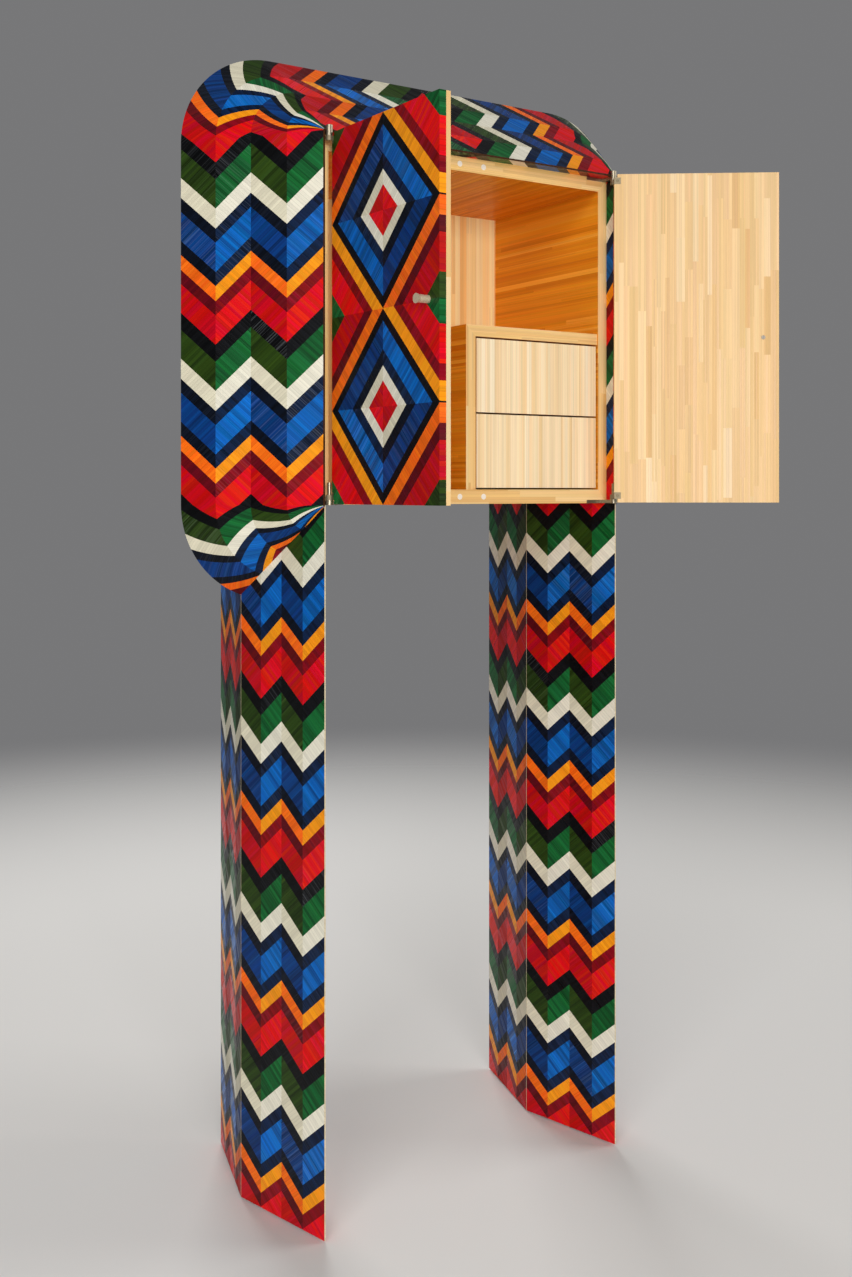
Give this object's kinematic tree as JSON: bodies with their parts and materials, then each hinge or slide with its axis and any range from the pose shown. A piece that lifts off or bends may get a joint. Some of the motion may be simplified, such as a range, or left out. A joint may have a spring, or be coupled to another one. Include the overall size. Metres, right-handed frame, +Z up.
{
  "type": "wardrobe cabinet on tall blade legs",
  "caption": "Square wardrobe cabinet in a faceted U frame with rounded corners, on tall lozenge blade legs, with inset hinged doors and inner drawers; stores clothes.",
  "frame": {"origin": "on the floor, midway between the two legs and midway between front and rear planes", "axes": "+X to the right seen from the front, -Y out of the front, +Z up"},
  "size_m": [0.9991, 0.6968, 1.945],
  "materials": {
    "marquetry": "dyed straw marquetry in bands, satin",
    "natural_straw": "natural straw veneer, satin sheen",
    "drawer_wood": "oiled",
    "timber": "plain sawn",
    "nickel": "brushed",
    "bolt_steel": "plated",
    "runner_steel": "dark",
    "foot_pad": "matte",
    "latch_plastic": "matte"
  },
  "bodies": {
    "cabinet": {"left_side_front_facet": "marquetry", "left_side_rear_facet": "marquetry", "right_side_front_facet": "marquetry", "right_side_rear_facet": "marquetry", "top_front_facet": "marquetry", "top_rear_facet": "marquetry", "left_corner_top": "marquetry", "right_corner_top": "marquetry", "left_corner_bottom": "marquetry", "right_corner_bottom": "marquetry", "left_leg_outer_shell": "marquetry", "right_leg_outer_shell": "marquetry", "left_leg_inner_shell": "marquetry", "right_leg_inner_shell": "marquetry", "outer_back_panel": "marquetry", "carcass_bottom": "natural_straw", "carcass_top": "natural_straw", "carcass_left_side": "natural_straw", "carcass_right_side": "natural_straw", "carcass_back": "natural_straw", "divider_panel": "natural_straw", "drawer_unit_top": "natural_straw", "frame_ribs": "timber", "left_leg_post": "timber", "right_leg_post": "timber", "leg_blocks": "timber", "leg_tenons": "timber", "hinge_carcass_leaves": "nickel", "hinge_pins": "nickel", "catch_magnets": "nickel", "lower_slide_cabinet_rails": "runner_steel", "upper_slide_cabinet_rails": "runner_steel", "left_foot_pad": "foot_pad", "right_foot_pad": "foot_pad", "latch_housings": "latch_plastic"},
    "left_door": {"left_door_panel": "marquetry", "left_door_lining": "natural_straw", "left_door_hinge_leaves": "nickel", "left_door_strikes": "bolt_steel", "left_knob": "nickel", "left_knob_screw": "nickel"},
    "right_door": {"right_door_panel": "marquetry", "right_door_lining": "natural_straw", "right_door_hinge_leaves": "nickel", "right_door_strikes": "bolt_steel", "right_knob": "nickel", "right_knob_screw": "nickel"},
    "upper_drawer": {"upper_drawer_front": "natural_straw", "upper_drawer_box": "drawer_wood", "upper_drawer_bottom": "drawer_wood", "upper_drawer_rails": "runner_steel"},
    "upper_slide_middle": {"upper_slide_middle_rails": "runner_steel"},
    "upper_latch": {"upper_latch_plunger": "latch_plastic"},
    "lower_drawer": {"lower_drawer_front": "natural_straw", "lower_drawer_box": "drawer_wood", "lower_drawer_bottom": "drawer_wood", "lower_drawer_rails": "runner_steel"},
    "lower_slide_middle": {"lower_slide_middle_rails": "runner_steel"},
    "lower_latch": {"lower_latch_plunger": "latch_plastic"}
  },
  "joints": [
    {"name": "left_door_hinge", "type": "hinge", "parent": "cabinet", "child": "left_door", "pos_m": [-0.2965, -0.202, 1.482], "axis": [0, 0, -1], "range_deg": [-87.6, 87.4]},
    {"name": "right_door_hinge", "type": "hinge", "parent": "cabinet", "child": "right_door", "pos_m": [0.2965, -0.202, 1.482], "axis": [0, 0, 1], "range_deg": [-144.3, 30.7]},
    {"name": "upper_drawer_slide", "type": "slide", "parent": "cabinet", "child": "upper_drawer", "axis": [0, -1, 0], "range_m": [0, 0.25]},
    {"name": "upper_middle_slide", "type": "slide", "parent": "cabinet", "child": "upper_slide_middle", "axis": [0, -1, 0], "range_m": [0, 0.125]},
    {"name": "upper_latch_push", "type": "slide", "parent": "cabinet", "child": "upper_latch", "axis": [0, 1, 0], "range_m": [0, 0.004], "stiffness_N_per_m": 300},
    {"name": "lower_drawer_slide", "type": "slide", "parent": "cabinet", "child": "lower_drawer", "axis": [0, -1, 0], "range_m": [0, 0.25]},
    {"name": "lower_middle_slide", "type": "slide", "parent": "cabinet", "child": "lower_slide_middle", "axis": [0, -1, 0], "range_m": [0, 0.125]},
    {"name": "lower_latch_push", "type": "slide", "parent": "cabinet", "child": "lower_latch", "axis": [0, 1, 0], "range_m": [0, 0.004], "stiffness_N_per_m": 300}
  ],
  "couplings": [
    {"joint": "upper_middle_slide", "follows": "upper_drawer_slide", "ratio": 0.5},
    {"joint": "lower_middle_slide", "follows": "lower_drawer_slide", "ratio": 0.5}
  ]
}
